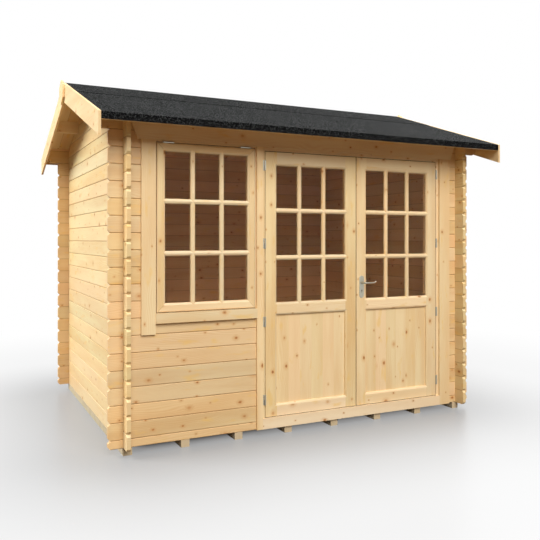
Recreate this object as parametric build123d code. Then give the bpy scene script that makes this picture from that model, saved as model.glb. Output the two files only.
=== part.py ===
"""Garden log cabin with double glazed doors, a top-hung window and an apex roof.

Millimetres, +Z up, origin on the ground under the middle of the plan.
The front with the doors and the window looks towards -Y.
"""
import os
from math import ceil, floor, hypot

from build123d import *

# Logs and wall plan
wall_length = 2850.0
wall_depth = 2240.0
log_thickness = 28.0
log_course = 114.0
log_end_reach = 100.0
log_joint_chamfer = 5.0
log_end_chamfer_depth = 16.0
log_end_chamfer_height = 17.0
eave_log_height = 135.0
wall_left_of_window = 172.0
wall_right_of_door = 190.0

# Floor
bearer_width = 60.0
bearer_height = 50.0
bearer_count = 8
floor_thickness = 19.0
floor_edge_gap = 3.0

# Roof
roof_rise_per_run = 1 / 3
roof_board_thickness = 18.0
gable_overhang = 215.0
eave_overhang = 270.0
purlin_width = 44.0
purlin_height = 100.0
purlin_centre_from_ridge = 582.0
ridge_purlin_height = 114.0
free_end_bevel_length = 28.0
free_end_bevel_height = 46.0
fascia_thickness = 18.0
fascia_height = 44.0
felt_thickness = 3.0
felt_ridge_half_width = 500.0
felt_lap = 80.0
felt_inset_from_barge_end = 2.0
barge_thickness = 17.0
barge_plumb_height = 150.0
apex_plate_thickness = 18.0
apex_plate_half_width = 88.0
apex_plate_side_height = 97.0
apex_plate_point_height = 50.0
apex_plate_shoulder_drop = 4.0

# Doorway and door leaves
leaf_height = 1943.0
leaf_thickness = 40.0
leaf_stile = 95.0
leaf_top_rail = 100.0
leaf_mid_rail = 94.0
leaf_bottom_rail = 88.0
leaf_panel_height = 653.0
leaf_edge_gap = 5.0
leaf_meeting_gap = 6.5
frame_depth = 70.0
jamb_width = 45.0
door_sill_height = 77.0
door_head_least_height = 60.0
panel_thickness = 14.0
panel_setback = 18.0

# Window
sash_width = 728.0
sash_height = 1153.0
sash_top_above_leaf = 15.0
sash_thickness = 36.0
sash_proud = 8.0
sash_edge_chamfer = 8.0
sash_rail = 60.0
sash_gap = 4.0
window_left_post = 50.0
window_right_post = 31.0
window_foot_least_height = 20.0

# Glass and glazing bars
glass_thickness = 4.0
glass_setback = 20.0
bar_width = 36.0
moulding = 15.0
panes_each_way = 3

# Outside boards round the openings
casing_thickness = 16.0
window_casing_width = 98.0
window_casing_drop = 114.0
window_casing_reveal = 10.0
door_left_casing_width = 48.0
door_right_casing_width = 106.0
door_right_casing_lap = 18.0
header_above_leaf = 29.0
header_end_slant = 64.0
header_top_gap = 2.0
sill_board_height = 69.0
sill_board_thickness = 24.0

# Hinges
hinge_height = 75.0
hinge_radius = 5.0
hinge_sides = 8
hinge_pin_radius = 2.5
hinge_pin_height = 30.0
hinge_running_gap = 0.1
hinge_end_gap = 0.3
hinge_side_gap = 1.5
hinge_axis_in_front = 6.0
hinge_plate_thickness = 2.0
hinge_frame_plate_width = 15.5
hinge_leaf_plate_width = 30.0
hinges_per_leaf = 4
hinge_first_above_leaf_bottom = 128.0
hinge_pitch = 571.0
sash_hinge_width = 75.0
sash_hinge_inset = 80.0

# Lever handle
plate_width = 43.0
plate_height = 177.0
plate_thickness = 3.0
plate_centre_above_leaf_bottom = 928.0
plate_centre_from_leaf_edge = 48.0
lever_above_plate_centre = 33.0
lever_neck_radius = 8.0
lever_neck_gap = 0.1
lever_standoff = 48.0
lever_reach = 118.0
lever_grip_radius = 7.0
lever_grip_sides = 8
lever_neck_sides = 12
lever_corner_cut = 7.0
lever_tip_rise = 14.0
spindle_hole_radius = 12.0
keyhole_below_lever = 60.0
keyhole_radius = 4.0
keyhole_sides = 8
keyhole_slot_width = 4.0
keyhole_slot_length = 14.0

# Derived places
half_length = wall_length / 2
half_depth = wall_depth / 2
logs_bottom = bearer_height
half_course = log_course / 2
quarter_course = log_course / 4
front_face_y = -half_depth

# Doorway between the window and the right wall
window_opening_width = window_left_post + sash_width + 2 * sash_gap + window_right_post
window_opening_left_x = -half_length + wall_left_of_window
window_opening_right_x = window_opening_left_x + window_opening_width
door_frame_left_x = window_opening_right_x
door_frame_right_x = half_length - wall_right_of_door
jamb_left_x = door_frame_left_x + jamb_width
jamb_right_x = door_frame_right_x - jamb_width
doorway_centre_x = (jamb_left_x + jamb_right_x) / 2
leaf_width = (jamb_right_x - jamb_left_x - leaf_meeting_gap) / 2 - leaf_edge_gap
leaf_bottom_z = logs_bottom + door_sill_height + leaf_edge_gap
leaf_top_z = leaf_bottom_z + leaf_height
head_underside_z = leaf_top_z + leaf_edge_gap

# Front wall courses up to the doorway head
front_courses = ceil(
    (head_underside_z + door_head_least_height - logs_bottom - half_course) / log_course)
eave_log_bottom = logs_bottom + half_course + front_courses * log_course
opening_top_z = eave_log_bottom

# Window
sash_left_x = window_opening_left_x + window_left_post + sash_gap
sash_right_x = sash_left_x + sash_width
sash_top_z = leaf_top_z + sash_top_above_leaf
sash_bottom_z = sash_top_z - sash_height
window_first_course = floor(
    (sash_bottom_z - sash_gap - window_foot_least_height - logs_bottom - half_course)
    / log_course)
window_opening_bottom_z = logs_bottom + half_course + window_first_course * log_course
header_bottom_z = leaf_top_z + header_above_leaf

# Roof
roof_seat_z = eave_log_bottom + eave_log_height
roof_seat_y = half_depth - log_thickness
ridge_underside_z = roof_seat_z + roof_seat_y * roof_rise_per_run
slope_stretch = hypot(1, roof_rise_per_run)
board_rise = roof_board_thickness * slope_stretch
felt_rise = felt_thickness * slope_stretch
barge_end_y = half_depth + eave_overhang
felt_face_y = barge_end_y - felt_inset_from_barge_end
fascia_face_y = felt_face_y - felt_thickness
barge_outer_x = half_length + gable_overhang
barge_inner_x = barge_outer_x - barge_thickness


def block(x0, x1, y0, y1, z0, z1):
    """Box between two corners."""
    centre = Pos((x0 + x1) / 2, (y0 + y1) / 2, (z0 + z1) / 2)
    return centre * Box(x1 - x0, y1 - y0, z1 - z0)


def prism_x(outline, x0, x1):
    """Outline given in Y and Z, carried along X."""
    face = Plane.YZ * Polygon(*outline, align=None)
    return Pos(x0, 0, 0) * extrude(face, amount=x1 - x0, dir=(1, 0, 0))


def prism_y(outline, y0, y1):
    """Outline given in X and Z, carried along Y."""
    face = Plane.XZ * Polygon(*outline, align=None)
    return Pos(0, y0, 0) * extrude(face, amount=y1 - y0, dir=(0, 1, 0))


def mirrored(points):
    """The same outline on the other side of its vertical axis."""
    return [(-a, b) for a, b in reversed(points)]


def save(name, pieces):
    """Write one node as solids that stay apart."""
    solids = [solid for piece in pieces for solid in piece.solids()]
    export_step(Compound(solids), f"parts/{name}.step")


def roof_underside(run):
    """Height of the roof boards' underside at a distance from the ridge line."""
    return ridge_underside_z - abs(run) * roof_rise_per_run


def deck(run):
    """Height of the roof boards' top."""
    return roof_underside(run) + board_rise


def felt_top(run):
    """Height of the doubled felt's top, which the barge boards' top edges meet."""
    return deck(run) + 2 * felt_rise


def log_outline(start, end, height, free_start, free_end, crossings, notch_foot):
    """Side view of one log: chamfered free ends, and notches where logs cross it."""
    depth = log_end_chamfer_depth
    rise = log_end_chamfer_height
    top = []
    bottom = []
    if free_start:
        bottom += [(start, rise), (start + depth, 0)]
        top += [(start, height - rise), (start + depth, height)]
    else:
        bottom += [(start, 0)]
        top += [(start, height)]
    for near in crossings:
        far = near + log_thickness
        if notch_foot:
            bottom += [(near, 0), (near, quarter_course), (far, quarter_course), (far, 0)]
        shoulder = height - quarter_course
        top += [(near, height), (near, shoulder), (far, shoulder), (far, height)]
    if free_end:
        bottom += [(end - depth, 0), (end, rise)]
        top += [(end - depth, height), (end, height - rise)]
    else:
        bottom += [(end, 0)]
        top += [(end, height)]
    return bottom + top[::-1]


def log_section(height):
    """End view of one log: flush inside, chamfered outside at the joints with its neighbours."""
    cut = log_joint_chamfer
    wide = log_thickness
    return [(cut, 0), (wide, 0), (wide, height), (cut, height), (0, height - cut), (0, cut)]


def front_log(start, end, z, height, free_start, free_end, crossings, notch_foot):
    """Log of the front wall, lying along X."""
    side = prism_y(
        log_outline(start, end, height, free_start, free_end, crossings, notch_foot),
        0, log_thickness,
    )
    section = prism_x(log_section(height), start, end)
    return Pos(0, front_face_y, z) * (side & section)


def left_log(z):
    """Log of the left wall, notched where the front and the back logs cross it."""
    reach = half_depth + log_end_reach
    crossings = [-half_depth, half_depth - log_thickness]
    side = prism_x(
        log_outline(-reach, reach, log_course, True, True, crossings, True), 0, log_thickness
    )
    section = prism_y(log_section(log_course), -reach, reach)
    return Pos(-half_length, 0, z) * (side & section)


def front_logs(start, end, free_start, free_end, crossings, first, last):
    """Stack of front logs; course -1 is the half log at the foot."""
    logs = []
    for course in range(first, last):
        if course < 0:
            z = logs_bottom
            height = half_course
        else:
            z = logs_bottom + half_course + course * log_course
            height = log_course
        logs.append(
            front_log(start, end, z, height, free_start, free_end, crossings, course >= 0))
    return logs


def save_stack(name, logs):
    """Touching logs go to two nodes, every other course in each."""
    save(f"{name}_logs_1", logs[0::2])
    save(f"{name}_logs_2", logs[1::2])


def front_and_back_walls():
    """Back wall and the parts of the front wall beside and under its openings."""
    free_left = -half_length - log_end_reach
    free_right = half_length + log_end_reach
    left_crossing = [-half_length]
    right_crossing = [half_length - log_thickness]
    across = front_logs(
        free_left, free_right, True, True, left_crossing + right_crossing, -1, front_courses)
    save_stack("back_wall", [mirror(log, Plane.XZ) for log in across])
    save_stack("front_wall_under_window", front_logs(
        free_left, door_frame_left_x, True, False, left_crossing, -1, window_first_course))
    save_stack("front_wall_left_of_window", front_logs(
        free_left, window_opening_left_x, True, False, left_crossing, window_first_course,
        front_courses))
    save_stack("front_wall_right_of_door", front_logs(
        door_frame_right_x, free_right, False, True, right_crossing, -1, front_courses))


def bevel_free_ends(bar):
    """Cut the lower corners off a bar that runs out to the barge boards at both ends."""
    bounds = bar.bounding_box()
    foot = bounds.min.Z
    end = bounds.max.X
    corner = [(end, foot), (end, foot + free_end_bevel_height), (end - free_end_bevel_length, foot)]
    for outline in (corner, mirrored(corner)):
        bar -= prism_y(outline, bounds.min.Y, bounds.max.Y)
    return bar


def eave_logs():
    """Top logs of front and back, planed to the roof slope and run out to the barge boards."""
    height = eave_log_height
    outer_height = height - log_thickness * roof_rise_per_run
    section = [
        (log_joint_chamfer, 0), (log_thickness - log_joint_chamfer, 0),
        (log_thickness, log_joint_chamfer), (log_thickness, height),
        (0, outer_height), (0, log_joint_chamfer),
    ]
    log = prism_x(section, -barge_inner_x, barge_inner_x)
    side_wall_seat = quarter_course + half_course
    for near in (-half_length, half_length - log_thickness):
        far = near + log_thickness
        log -= block(near, far, 0, log_thickness, 0, quarter_course)
        log -= block(near, far, 0, log_thickness, side_wall_seat, height)
    front = Pos(0, front_face_y, eave_log_bottom) * bevel_free_ends(log)
    save("eave_logs", [front, mirror(front, Plane.XZ)])


def purlin_section(centre, height):
    """Purlin with its top planed to the slope, or to both slopes under the ridge."""
    near = centre - purlin_width / 2
    far = centre + purlin_width / 2
    foot = roof_underside(min(abs(near), abs(far))) - height
    top = [(far, roof_underside(far)), (near, roof_underside(near))]
    if near < 0 < far:
        foot = roof_underside(0) - height
        top.insert(1, (0, roof_underside(0)))
    return [(near, foot), (far, foot)] + top


def purlins():
    """Ridge purlin and one purlin halfway down each slope."""
    sections = [
        purlin_section(-purlin_centre_from_ridge, purlin_height),
        purlin_section(0, ridge_purlin_height),
        purlin_section(purlin_centre_from_ridge, purlin_height),
    ]
    return [
        bevel_free_ends(prism_x(section, -barge_inner_x, barge_inner_x)) for section in sections]


def gable_walls():
    """Side walls up to the roof, notched over the purlins."""
    reach = half_depth + log_end_reach
    gable = [
        (-reach, logs_bottom), (reach, logs_bottom),
        (reach, roof_underside(reach)), (0, ridge_underside_z), (-reach, roof_underside(reach)),
    ]
    under_roof = prism_x(gable, -half_length, -half_length + log_thickness)
    purlin_bars = purlins()
    save("roof_purlins", purlin_bars)
    course_count = ceil((ridge_underside_z - logs_bottom) / log_course)
    logs = []
    for course in range(course_count):
        z = logs_bottom + course * log_course
        log = left_log(z)
        if z + log_course > roof_underside(reach):
            log = log & under_roof
        for bar in purlin_bars:
            bounds = bar.bounding_box()
            if bounds.min.Z < z + log_course and bounds.max.Z > z:
                log = log - bar
        logs.append(log)
    save_stack("left_wall", logs)
    save_stack("right_wall", [mirror(log, Plane.YZ) for log in logs])


def floor_and_bearers():
    """Bearers from front to back with the floor boards on them."""
    pitch = (wall_length - bearer_width) / (bearer_count - 1)
    bearers = []
    for index in range(bearer_count):
        left = -half_length + index * pitch
        bearers.append(
            block(left, left + bearer_width, -half_depth, half_depth, 0, bearer_height))
    save("floor_bearers", bearers)
    x = half_length - log_thickness - floor_edge_gap
    back_y = half_depth - log_thickness - floor_edge_gap
    front_y = -half_depth + frame_depth + floor_edge_gap
    save("floor_boards", [
        block(-x, x, front_y, back_y, bearer_height, bearer_height + floor_thickness)])


def roof():
    """Boards, fascias, felt, barge boards and apex plates."""
    boards_end_y = fascia_face_y - fascia_thickness
    slope = [
        (0, roof_underside(0)), (0, deck(0)), (-boards_end_y, deck(boards_end_y)),
        (-boards_end_y, roof_underside(boards_end_y)),
    ]
    boards = prism_x(slope, -barge_inner_x, barge_inner_x)
    save("roof_boards_front", [boards])
    save("roof_boards_rear", [mirror(boards, Plane.XZ)])

    fascia_top = deck(fascia_face_y)
    fascia = [
        (-fascia_face_y, fascia_top - fascia_height), (-boards_end_y, fascia_top - fascia_height),
        (-boards_end_y, deck(boards_end_y)), (-fascia_face_y, fascia_top),
    ]
    front_fascia = prism_x(fascia, -barge_inner_x, barge_inner_x)
    save("eave_fascias", [front_fascia, mirror(front_fascia, Plane.XZ)])

    lap_y = felt_ridge_half_width - felt_lap
    felt_foot = fascia_top - fascia_height
    lower_felt = [
        (-lap_y, deck(lap_y)), (-lap_y, deck(lap_y) + felt_rise),
        (-felt_face_y, deck(felt_face_y) + felt_rise), (-felt_face_y, felt_foot),
        (-fascia_face_y, felt_foot), (-fascia_face_y, fascia_top),
    ]
    front_felt = prism_x(lower_felt, -barge_inner_x, barge_inner_x)
    save("roof_felt_slopes", [front_felt, mirror(front_felt, Plane.XZ)])
    edge_y = felt_ridge_half_width
    right_half = [
        (lap_y, deck(lap_y)), (lap_y, deck(lap_y) + felt_rise),
        (edge_y, deck(edge_y) + felt_rise), (edge_y, felt_top(edge_y)), (lap_y, felt_top(lap_y)),
    ]
    ridge_felt = [(0, deck(0))] + right_half + [(0, felt_top(0))] + mirrored(right_half)
    save("roof_felt_ridge", [prism_x(ridge_felt, -barge_inner_x, barge_inner_x)])

    barge = [
        (0, felt_top(0)), (-barge_end_y, felt_top(barge_end_y)),
        (-barge_end_y, felt_top(barge_end_y) - barge_plumb_height),
        (0, felt_top(0) - barge_plumb_height),
    ]
    right_barge = prism_x(barge, barge_inner_x, barge_outer_x)
    front_pair = [right_barge, mirror(right_barge, Plane.YZ)]
    save("barge_boards_front", front_pair)
    save("barge_boards_rear", [mirror(board, Plane.XZ) for board in front_pair])

    shoulder = apex_plate_half_width
    shoulder_z = felt_top(shoulder) - apex_plate_shoulder_drop
    side_foot_z = shoulder_z - apex_plate_side_height
    plate = [
        (0, shoulder_z + apex_plate_point_height), (-shoulder, shoulder_z),
        (-shoulder, side_foot_z), (0, side_foot_z - apex_plate_point_height),
        (shoulder, side_foot_z), (shoulder, shoulder_z),
    ]
    right_plate = prism_x(plate, barge_outer_x, barge_outer_x + apex_plate_thickness)
    save("apex_plates", [right_plate, mirror(right_plate, Plane.YZ)])


def openings():
    """Door frame, window frame and the boards that cover their edges outside."""
    y0 = front_face_y
    y1 = front_face_y + frame_depth
    foot = logs_bottom
    board_y = front_face_y - casing_thickness
    sash_side_x = sash_left_x - window_casing_reveal
    left_door_casing_x = door_frame_left_x - door_left_casing_width / 2
    left_door_casing_far_x = left_door_casing_x + door_left_casing_width
    right_casing_x = door_frame_right_x - door_right_casing_lap
    save("door_frame_posts", [
        block(door_frame_left_x, jamb_left_x, y0, y1, foot, opening_top_z),
        block(jamb_right_x, door_frame_right_x, y0, y1, foot, opening_top_z),
    ])
    save("door_frame_head", [
        block(jamb_left_x, jamb_right_x, y0, y1, head_underside_z, opening_top_z)])
    sill_top_z = foot + door_sill_height
    sill = block(jamb_left_x, jamb_right_x, y0, y1, foot, sill_top_z)
    sill += block(left_door_casing_far_x, right_casing_x, board_y, y0, foot, sill_top_z)
    save("door_sill", [sill])

    outer = block(
        window_opening_left_x, window_opening_right_x, y0, y1, window_opening_bottom_z,
        opening_top_z)
    inner = block(
        sash_left_x - sash_gap, sash_right_x + sash_gap, y0, y1, sash_bottom_z - sash_gap,
        sash_top_z + sash_gap)
    save("window_frame", [outer - inner])

    save("front_casings", [
        block(sash_side_x - window_casing_width, sash_side_x, board_y, front_face_y,
              window_opening_bottom_z - window_casing_drop, header_bottom_z),
        block(left_door_casing_x, left_door_casing_far_x, board_y, front_face_y, foot,
              header_bottom_z),
        block(right_casing_x, right_casing_x + door_right_casing_width, board_y, front_face_y,
              foot, header_bottom_z),
    ])
    save("window_sill_board", [
        block(sash_side_x, left_door_casing_x, front_face_y - sill_board_thickness, front_face_y,
              sash_bottom_z - sash_gap - sill_board_height, sash_bottom_z - sash_gap)])

    header_top_z = roof_underside(half_depth + casing_thickness) - header_top_gap
    inside_x = half_length - log_thickness
    slanted_x = inside_x - header_end_slant
    header = [
        (-slanted_x, header_bottom_z), (slanted_x, header_bottom_z),
        (inside_x, header_top_z), (-inside_x, header_top_z),
    ]
    save("header_board", [prism_y(header, board_y, front_face_y)])


def moulded_cutter(x0, x1, z0, z1, front_y, depth):
    """Opening that widens towards the front face, for the moulding round its edge."""
    middle = ((x0 + x1) / 2, front_y + moulding, (z0 + z1) / 2)
    mouth = Plane(origin=middle, x_dir=(1, 0, 0), z_dir=(0, -1, 0)) * Rectangle(x1 - x0, z1 - z0)
    return block(x0, x1, front_y, front_y + depth, z0, z1) + extrude(
        mouth, amount=moulding, taper=-45)


def cut_panes(board, x0, x1, z0, z1, front_y, back_y):
    """Cut the panes through a board's front and one recess for the glass behind the bars."""
    pane_width = (x1 - x0 - (panes_each_way - 1) * bar_width) / panes_each_way
    pane_height = (z1 - z0 - (panes_each_way - 1) * bar_width) / panes_each_way
    board -= block(x0, x1, front_y + glass_setback, back_y, z0, z1)
    for column in range(panes_each_way):
        left = x0 + column * (pane_width + bar_width)
        for row in range(panes_each_way):
            foot = z0 + row * (pane_height + bar_width)
            board -= moulded_cutter(
                left, left + pane_width, foot, foot + pane_height, front_y, glass_setback)
    return board


def save_glazing(name, board, x0, x1, z0, z1, front_y):
    """The bars that the panes leave, and the sheet of glass behind them."""
    glass_y = front_y + glass_setback
    save(f"{name}_bars", [board & block(x0, x1, front_y, glass_y, z0, z1)])
    save(f"{name}_glass", [block(x0, x1, glass_y, glass_y + glass_thickness, z0, z1)])


def window_sash():
    """Top-hung sash with its glass, bars and two hinges."""
    y0 = front_face_y - sash_proud
    y1 = y0 + sash_thickness
    x0 = sash_left_x + sash_rail
    x1 = sash_right_x - sash_rail
    z0 = sash_bottom_z + sash_rail
    z1 = sash_top_z - sash_rail
    board = block(sash_left_x, sash_right_x, y0, y1, sash_bottom_z, sash_top_z)
    board = chamfer(board.faces().sort_by(Axis.Y)[0].edges(), sash_edge_chamfer)
    board = cut_panes(board, x0, x1, z0, z1, y0, y1)
    save_glazing("window", board, x0, x1, z0, z1, y0)
    save("window_sash", [board - block(x0, x1, y0, y1, z0, z1)])

    hinges = []
    for x in (sash_left_x + sash_hinge_inset, sash_right_x - sash_hinge_inset):
        near = x - sash_hinge_width / 2
        far = x + sash_hinge_width / 2
        barrel_plane = Plane(
            origin=(near, y0 - hinge_radius, sash_top_z + sash_gap / 2), z_dir=(1, 0, 0))
        barrel = extrude(
            barrel_plane * RegularPolygon(hinge_radius, hinge_sides), amount=sash_hinge_width)
        hinges.append(barrel + block(
            near, far, y0 - hinge_radius, y0 + hinge_leaf_plate_width, sash_top_z,
            sash_top_z + sash_gap))
    save("window_hinges", hinges)


def hinge_z(index):
    """Height of a door hinge's middle."""
    return leaf_bottom_z + hinge_first_above_leaf_bottom + index * hinge_pitch


def barrel(x, y, z0, z1, radius, to_corners=True):
    """Upright bar of a hinge, with its radius to the corners or to the flat sides."""
    outline = RegularPolygon(radius, hinge_sides, major_radius=to_corners)
    return extrude(Plane(origin=(x, y, z0)) * outline, amount=z1 - z0)


def between(a, b, y0, y1, z0, z1):
    """Box whose two X limits come in either order."""
    return block(min(a, b), max(a, b), y0, y1, z0, z1)


def door_hinges(axis_x, side):
    """Lift-off hinges of one leaf: frame halves with the pins, and leaf halves bored for them.

    side is 1 where the leaf lies towards +X of its hinges and -1 where it lies towards -X.
    """
    axis_y = front_face_y - hinge_axis_in_front
    plate_y = front_face_y - hinge_plate_thickness
    leaf_x = axis_x + side * leaf_edge_gap / 2
    frame_halves = []
    leaf_halves = []
    for index in range(hinges_per_leaf):
        z = hinge_z(index)
        foot = z - hinge_height / 2
        top = z + hinge_height / 2
        frame_top = z - hinge_end_gap / 2
        leaf_foot = z + hinge_end_gap / 2
        plate_x = axis_x - side * hinge_frame_plate_width
        half = barrel(axis_x, axis_y, foot, frame_top, hinge_radius)
        half += between(plate_x, axis_x, plate_y, front_face_y, foot, frame_top)
        half += between(
            axis_x - side * hinge_pin_radius, axis_x, axis_y, front_face_y, foot, frame_top)
        half += between(
            plate_x, axis_x - side * (hinge_radius + hinge_side_gap), plate_y, front_face_y,
            frame_top, top)
        half += barrel(axis_x, axis_y, foot, z + hinge_pin_height, hinge_pin_radius)
        frame_halves.append(half)

        half = barrel(axis_x, axis_y, leaf_foot, top, hinge_radius)
        half += between(
            leaf_x - side * hinge_plate_thickness, leaf_x, axis_y, front_face_y, leaf_foot, top)
        half += between(
            leaf_x - side * hinge_plate_thickness, leaf_x, front_face_y,
            front_face_y + hinge_leaf_plate_width, foot, top)
        half -= barrel(
            axis_x, axis_y, z, z + hinge_pin_height + hinge_running_gap,
            hinge_pin_radius + hinge_running_gap, to_corners=False)
        leaf_halves.append(half)
    return frame_halves, leaf_halves


def flat_sided_bar(x, y0, y1, z, radius, sides):
    """Bar along Y with its corners at the radius, also used to cut holes through timber."""
    outline = Plane(origin=(x, y0, z), z_dir=(0, 1, 0)) * RegularPolygon(radius, sides)
    return extrude(outline, amount=y1 - y0)


def door_leaf(name, left_x, lever_place):
    """Framed leaf: stiles, rails, lower panel, glass and bars, bored where a lever passes."""
    y0 = front_face_y
    y1 = y0 + leaf_thickness
    right_x = left_x + leaf_width
    x0 = left_x + leaf_stile
    x1 = right_x - leaf_stile
    panel_z0 = leaf_bottom_z + leaf_bottom_rail
    panel_z1 = panel_z0 + leaf_panel_height
    glass_z0 = panel_z1 + leaf_mid_rail
    glass_z1 = leaf_top_z - leaf_top_rail
    board = block(left_x, right_x, y0, y1, leaf_bottom_z, leaf_top_z)
    board = cut_panes(board, x0, x1, glass_z0, glass_z1, y0, y1)
    board -= moulded_cutter(x0, x1, panel_z0, panel_z1, y0, leaf_thickness)
    save_glazing(name, board, x0, x1, glass_z0, glass_z1, y0)

    stiles = [
        board & block(left_x, x0, y0, y1, leaf_bottom_z, leaf_top_z),
        board & block(x1, right_x, y0, y1, leaf_bottom_z, leaf_top_z),
    ]
    if lever_place:
        x, z = lever_place
        stiles[0] -= flat_sided_bar(x, y0, y1, z, spindle_hole_radius, lever_neck_sides)
        stiles[0] -= flat_sided_bar(
            x, y0, y1, z - keyhole_below_lever, keyhole_radius, keyhole_sides)
    save(f"{name}_stiles", stiles)
    save(f"{name}_rails", [
        board & block(x0, x1, y0, y1, foot, top)
        for foot, top in (
            (leaf_bottom_z, panel_z0), (panel_z1, glass_z0), (glass_z1, leaf_top_z))
    ])
    panel_y = y0 + panel_setback
    save(f"{name}_panel", [
        block(x0, x1, panel_y, panel_y + panel_thickness, panel_z0, panel_z1)])


def cut_corners(points, cut):
    """The same path with each corner cut off at a distance along both of its runs."""
    eased = [points[0]]
    for before, corner, after in zip(points, points[1:], points[2:]):
        corner = Vector(*corner)
        eased += [corner + (Vector(*near) - corner).normalized() * cut for near in (before, after)]
    return eased + [points[-1]]


def lever_half(x, face_y, z, outward):
    """Lever on one face of the leaf: neck, grip and upturned tip, mitred at its bends."""
    grip_y = face_y + outward * lever_standoff
    corners = [
        (x, face_y, z), (x, grip_y, z), (x + lever_reach - lever_tip_rise, grip_y, z),
        (x + lever_reach, grip_y, z + lever_tip_rise),
    ]
    path = Polyline(*cut_corners(corners, lever_corner_cut))
    start = Plane(origin=(x, face_y, z), z_dir=(0, outward, 0))
    section = start * RegularPolygon(lever_grip_radius, lever_grip_sides)
    return sweep(section, path, transition=Transition.RIGHT)


def door_handle(x, lever_z):
    """Long backplates on both faces, and two levers on one spindle."""
    far_face_y = front_face_y + leaf_thickness
    plate_z = lever_z - lever_above_plate_centre
    keyhole_z = lever_z - keyhole_below_lever
    plates = []
    levers = flat_sided_bar(
        x, front_face_y - plate_thickness, far_face_y + plate_thickness, lever_z,
        lever_neck_radius, lever_neck_sides)
    for face_y, outward in ((front_face_y, -1), (far_face_y, 1)):
        outer_y = face_y + outward * plate_thickness
        near_y = min(face_y, outer_y)
        far_y = max(face_y, outer_y)
        outline = Plane(origin=(x, near_y, plate_z), x_dir=(1, 0, 0), z_dir=(0, 1, 0))
        plate = extrude(
            outline * SlotOverall(plate_height, plate_width, rotation=90), amount=plate_thickness)
        plate -= Pos(x, (near_y + far_y) / 2, lever_z) * Cylinder(
            lever_neck_radius + lever_neck_gap, plate_thickness, rotation=(90, 0, 0))
        plate -= flat_sided_bar(x, near_y, far_y, keyhole_z, keyhole_radius, keyhole_sides)
        plate -= block(
            x - keyhole_slot_width / 2, x + keyhole_slot_width / 2, near_y, far_y,
            keyhole_z - keyhole_slot_length, keyhole_z)
        plates.append(plate)
        levers += lever_half(x, face_y, lever_z, outward)
    save("handle_backplates", plates)
    save("lever_handle", [levers])


def doors():
    """Two leaves that open outwards, their hinges and the lever handle."""
    left_leaf_x = jamb_left_x + leaf_edge_gap
    right_leaf_x = doorway_centre_x + leaf_meeting_gap / 2
    handle_x = right_leaf_x + plate_centre_from_leaf_edge
    lever_z = leaf_bottom_z + plate_centre_above_leaf_bottom + lever_above_plate_centre
    door_leaf("left_door", left_leaf_x, None)
    door_leaf("right_door", right_leaf_x, (handle_x, lever_z))
    left_frame, left_leaf = door_hinges(jamb_left_x + leaf_edge_gap / 2, 1)
    right_frame, right_leaf = door_hinges(jamb_right_x - leaf_edge_gap / 2, -1)
    save("door_hinge_frame_halves", left_frame + right_frame)
    save("left_door_hinges", left_leaf)
    save("right_door_hinges", right_leaf)
    door_handle(handle_x, lever_z)


os.makedirs("parts", exist_ok=True)
floor_and_bearers()
front_and_back_walls()
gable_walls()
eave_logs()
roof()
openings()
window_sash()
doors()
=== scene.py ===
"""Looks of the garden log cabin: pine, felt, glass and steel, light, floor and camera.

Metres, +Z up, front towards -Y, as in the frame.
"""
import math

import bmesh
import bpy
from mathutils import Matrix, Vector


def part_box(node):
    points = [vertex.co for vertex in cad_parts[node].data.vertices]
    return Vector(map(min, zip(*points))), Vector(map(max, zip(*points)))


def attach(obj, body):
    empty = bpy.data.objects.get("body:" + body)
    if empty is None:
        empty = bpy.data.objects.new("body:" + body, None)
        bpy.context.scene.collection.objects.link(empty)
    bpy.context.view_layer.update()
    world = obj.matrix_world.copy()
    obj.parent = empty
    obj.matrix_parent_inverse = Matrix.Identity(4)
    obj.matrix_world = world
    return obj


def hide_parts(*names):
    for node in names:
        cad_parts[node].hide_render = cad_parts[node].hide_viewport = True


# Photograph's camera
CAMERA_PLACE = (-2.454, -5.500, 1.429)
CAMERA_YAW = math.radians(26.534)
SENSOR_WIDTH = 36.0
LENS = 44.19
SHIFT_X = -0.0185
SHIFT_Y = -0.0559
CAMERA_REACH = 200.0

# Log courses
LOG_COURSE = 0.114
FRONT_LOGS_START = 0.107
SIDE_LOGS_START = 0.050
LOG_JOINT = 0.003

# Widths over which each kind of joinery keeps the grain of one board, and half joint lines
LYING_BOARD = 0.35
STANDING_BOARD = 0.80
PANEL_BOARD = 0.098
PANEL_BOARDS_START = 0.01
BARGE_BOARD = 3.0
LINING_BOARD = 0.095
LINING_JOINT = 0.002
FRAME_MEMBER = 0.60
BEARER = 0.30

# Joinery
PANES_EACH_WAY = 3
BAR_WIDTH = 0.036
MOULDING = 0.015
MOULDING_QUIRK = 0.0012
SASH_EDGE = 0.008
ARC_STEPS = 8

STOP_REACH = 0.016
STOP_CLEARANCE = 0.002
BAR_EASING = 0.0008

# Dark strips in the gaps round the leaves and the sash: painted shade of the gaps
GAP_SHADE_SETBACK = 0.005
GAP_SHADE_DEPTH = 0.004
GAP_SHADE_CLEARANCE = 0.0008

# Metalwork
SCREW_RADIUS = 0.0042
SCREW_DOME = 0.0009
SCREW_SIDES = 16
SCREW_MARGIN = 0.001
SCREW_PROFILE = ((1.0, 0.0), (0.93, 0.55), (0.62, 0.95), (0.5, 1.0))
RECESS_ARM = 0.44
RECESS_WAIST = 0.16
RECESS_FLOOR = 0.25
HINGE_SCREW_RISE = 0.026
HINGE_PLATE_PROUD = 0.002
PLATE_SCREW_INSET = 0.014
LEVER_ROOT_RADIUS = 0.0075
LEVER_GRIP_RADIUS = 0.0048
LEVER_TAPER = 1.6
LEVER_SIDES = 20
LEVER_COLLAR_RADIUS = 0.0105
LEVER_COLLAR_LENGTH = 0.009
LEVER_COLLAR_EDGE = 0.001
LEVER_BEND = 0.016
LEVER_SHORTER = 0.012
LEVER_TIP_RISE = 0.011
LEVER_TIP_ROUND = 0.0012
LEVER_TIP_SHARE = 0.7
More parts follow.
